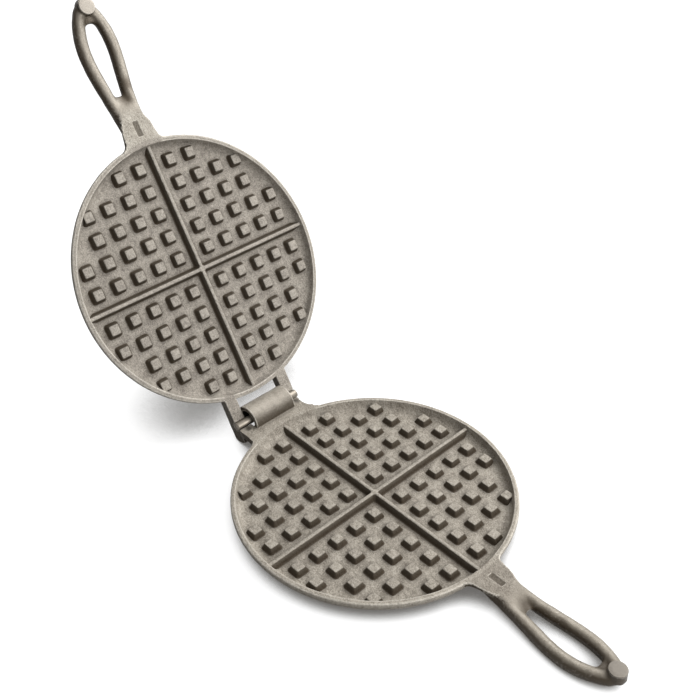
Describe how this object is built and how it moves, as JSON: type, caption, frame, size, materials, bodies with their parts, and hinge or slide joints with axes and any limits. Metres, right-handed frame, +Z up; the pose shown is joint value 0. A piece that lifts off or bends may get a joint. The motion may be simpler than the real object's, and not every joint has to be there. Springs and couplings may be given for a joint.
{
  "type": "stovetop waffle iron",
  "caption": "Round stovetop waffle iron with hinged cast plates, square pegs, cross ribs and open loop handles, standing open.",
  "frame": {"origin": "middle of the base plate's flat underside", "axes": "+X from the middle of the base plate towards the base handle, +Z up; the hinge lies towards -X with its axis along Y"},
  "size_m": [0.4696, 0.184, 0.2624],
  "materials": {
    "cast_iron": "matte",
    "cast_iron_handled": "satin",
    "steel_pin": "satin"
  },
  "bodies": {
    "base": {"base_plate": "cast_iron", "base_handle": "cast_iron_handled", "base_hinge_hook": "cast_iron"},
    "lid": {"lid_plate": "cast_iron", "lid_handle": "cast_iron_handled", "lid_ear_left": "cast_iron", "lid_ear_right": "cast_iron", "hinge_pin": "steel_pin"}
  },
  "joints": [
    {"name": "lid_hinge", "type": "hinge", "parent": "base", "child": "lid", "pos_m": [-0.10735, 0, 0.01415], "axis": [0, 1, 0], "range_deg": [0, 123.5]}
  ]
}
